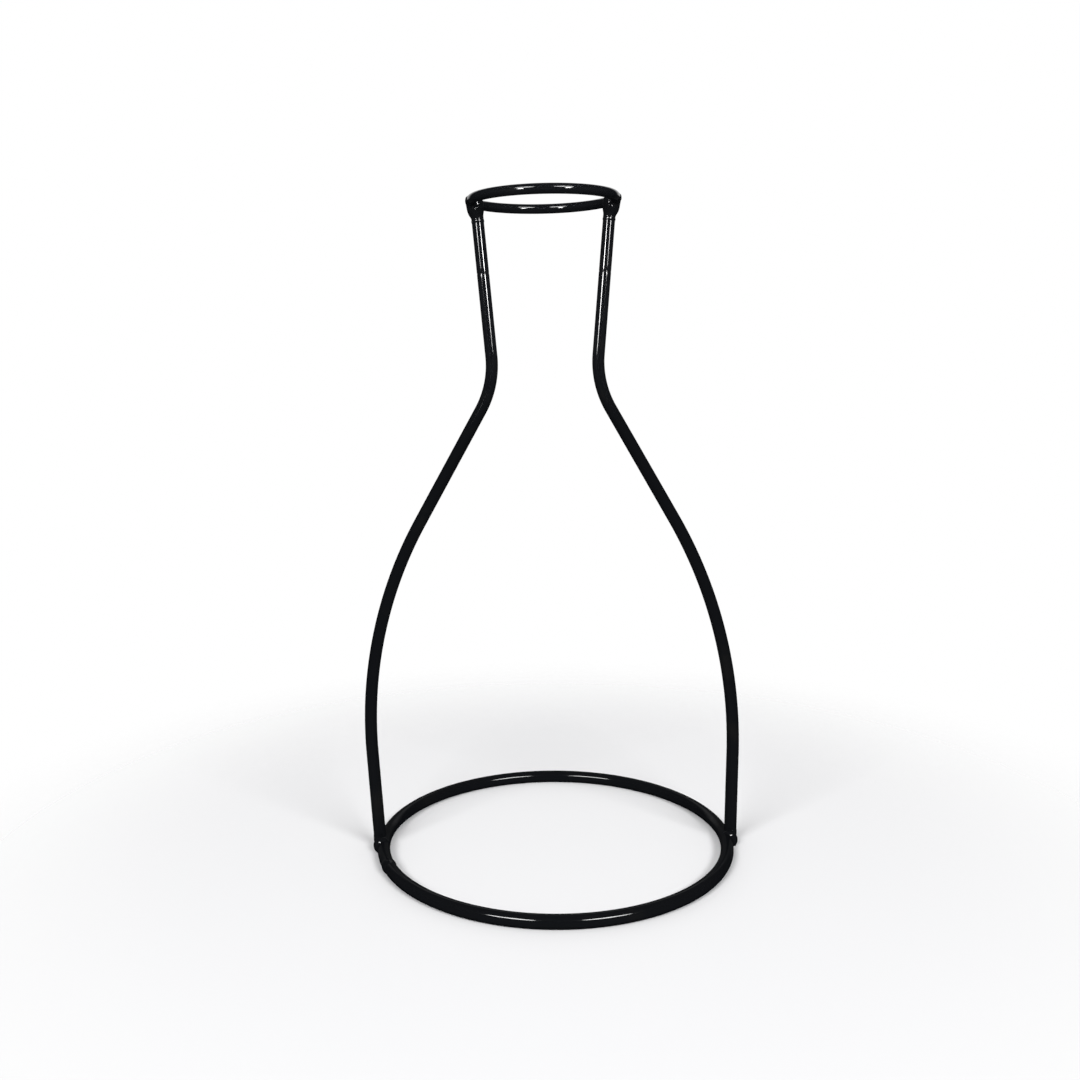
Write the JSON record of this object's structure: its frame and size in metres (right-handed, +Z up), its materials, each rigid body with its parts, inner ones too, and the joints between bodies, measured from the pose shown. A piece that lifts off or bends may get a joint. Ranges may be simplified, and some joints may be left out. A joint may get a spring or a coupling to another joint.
{
  "type": "wire vase",
  "caption": "Black wire outline of a bottle-necked vase: a mouth ring and a wider base ring joined by bent uprights, open all round, through which stems stand.",
  "frame": {"origin": "centre of the base ring, on the surface that the vase stands on", "axes": "+Z up; +X from the left upright to the right upright, as the vase is seen from the front; +Y away from the viewer"},
  "size_m": [0.1324, 0.1248, 0.23],
  "materials": {
    "lacquered_wire": "gloss black lacquer on round steel wire",
    "lacquered_weld": "black lacquer, a little uneven, over weld metal"
  },
  "bodies": {
    "root": {"base_ring": "lacquered_wire", "base_ring_seam_weld": "lacquered_weld", "mouth_ring": "lacquered_wire", "left_upright": "lacquered_wire", "right_upright": "lacquered_wire", "left_head_weld": "lacquered_weld", "right_head_weld": "lacquered_weld", "left_foot_weld": "lacquered_weld", "right_foot_weld": "lacquered_weld"}
  },
  "joints": []
}
